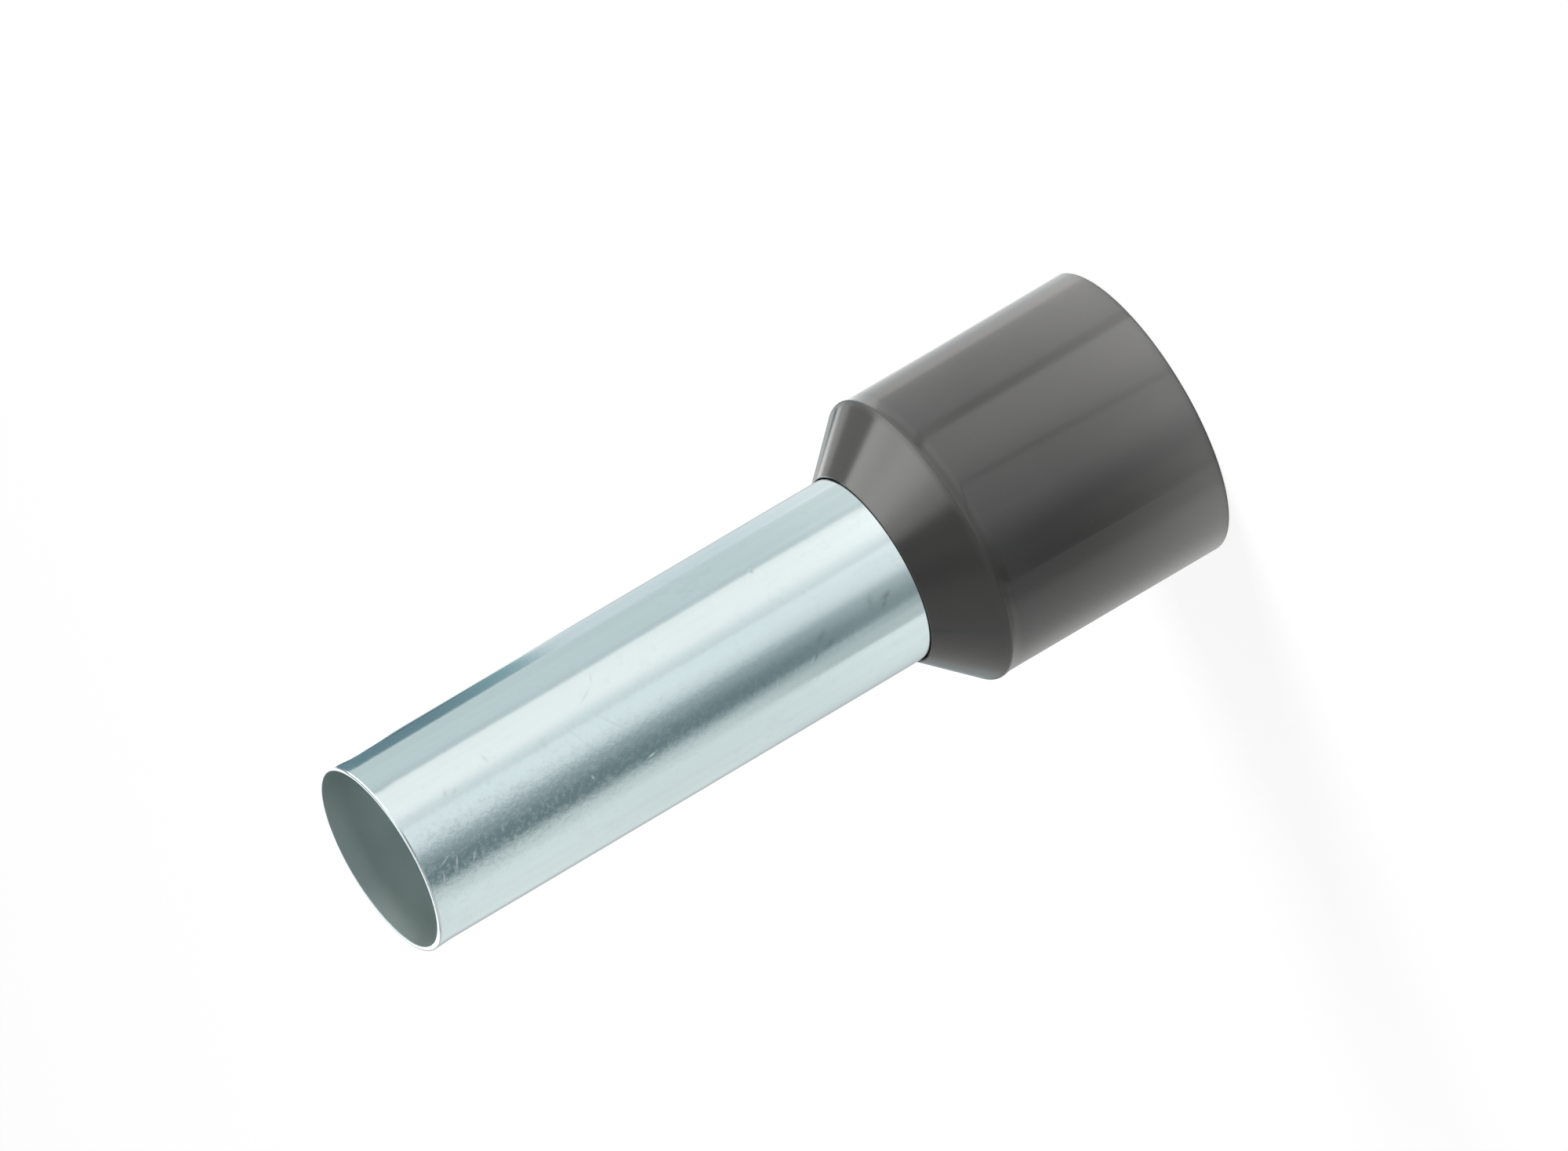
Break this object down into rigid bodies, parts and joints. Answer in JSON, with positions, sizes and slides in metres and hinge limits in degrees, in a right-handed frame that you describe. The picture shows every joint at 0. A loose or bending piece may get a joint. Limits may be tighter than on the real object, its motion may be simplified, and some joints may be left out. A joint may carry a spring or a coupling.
{
  "type": "wire ferrule",
  "caption": "Insulated wire ferrule: a long thin-walled tinned copper sleeve, open end to end, seated in a grey plastic collar with a conical shoulder and a wide round wire entry.",
  "frame": {"origin": "centre of the collar's open mouth, the end it stands on", "axes": "+Z along the ferrule's axis, from the collar's mouth to the sleeve's tip; the shape is round about Z, so X and Y are any two directions square to it"},
  "size_m": [0.0134, 0.0134, 0.039],
  "materials": {
    "tinned_copper": "bright tin plate over copper, soft reflections",
    "grey_plastic": "smooth semi-gloss dark grey moulding"
  },
  "bodies": {
    "root": {"contact_sleeve": "tinned_copper", "insulating_collar": "grey_plastic"}
  },
  "joints": []
}
